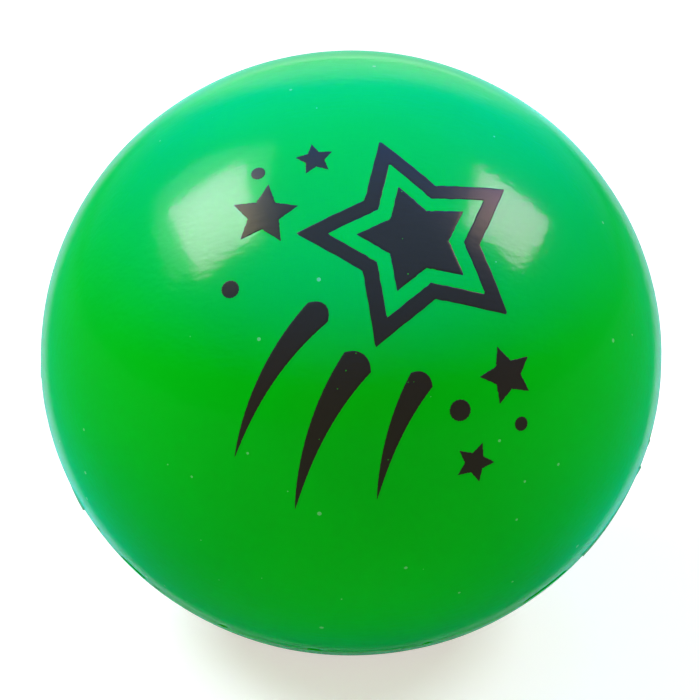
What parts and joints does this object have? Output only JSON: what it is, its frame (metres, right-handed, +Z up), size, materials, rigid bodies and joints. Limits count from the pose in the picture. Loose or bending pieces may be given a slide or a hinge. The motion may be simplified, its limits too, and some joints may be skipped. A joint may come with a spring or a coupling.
{
  "type": "light-up ball",
  "caption": "Soft hollow rubber ball, welded from halves, that flashes when it is shaken: a sealed light module with a sprung shake switch sits in a plugged pocket.",
  "frame": {"origin": "middle of the flat that the ball rests on", "axes": "+Z up, -Y towards the side that carries the print, whose pole also looks up; the plug's side is +Y and down"},
  "size_m": [0.0756, 0.075, 0.0716],
  "materials": {
    "soft_rubber": "glossy, slightly tacky thermoplastic rubber",
    "clear_styrene": "clear polished",
    "board_laminate": "solder-masked glass laminate",
    "chip_epoxy": "cured epoxy",
    "resistor_ceramic": "glazed ceramic with tinned ends",
    "cell_steel": "nickel-plated steel",
    "sleeve_film": "shrunk film",
    "contact_nickel": "nickel strip",
    "insulator_card": "insulating card",
    "lamp_red": "clear tinted epoxy",
    "lamp_green": "clear tinted epoxy",
    "lamp_blue": "clear tinted epoxy",
    "tinned_wire": "tinned, soldered",
    "switch_brass": "plated spring wire"
  },
  "bodies": {
    "ball": {"front_half_shell": "soft_rubber", "rear_half_shell": "soft_rubber", "pocket_plug": "soft_rubber", "capsule_cup": "clear_styrene", "capsule_lens": "clear_styrene", "circuit_board": "board_laminate", "controller_chip": "chip_epoxy", "timing_resistor": "resistor_ceramic", "button_cell_1": "cell_steel", "button_cell_2": "cell_steel", "button_cell_3": "cell_steel", "cell_sleeve": "sleeve_film", "negative_strip": "contact_nickel", "positive_strip": "contact_nickel", "insulator_disc": "insulator_card", "led_red": "lamp_red", "led_red_anode": "tinned_wire", "led_red_cathode": "tinned_wire", "led_green": "lamp_green", "led_green_anode": "tinned_wire", "led_green_cathode": "tinned_wire", "led_blue": "lamp_blue", "led_blue_anode": "tinned_wire", "led_blue_cathode": "tinned_wire", "shake_pin": "switch_brass"},
    "shake_spring": {"shake_spring": "switch_brass"}
  },
  "joints": [
    {"name": "shake_spring_sway", "type": "hinge", "parent": "ball", "child": "shake_spring", "pos_m": [0.00649, 0.00828, 0.02404], "axis": [1, 0, 0], "range_deg": [-5.5, 5.5], "stiffness_Nm_per_rad": 0.0001}
  ]
}
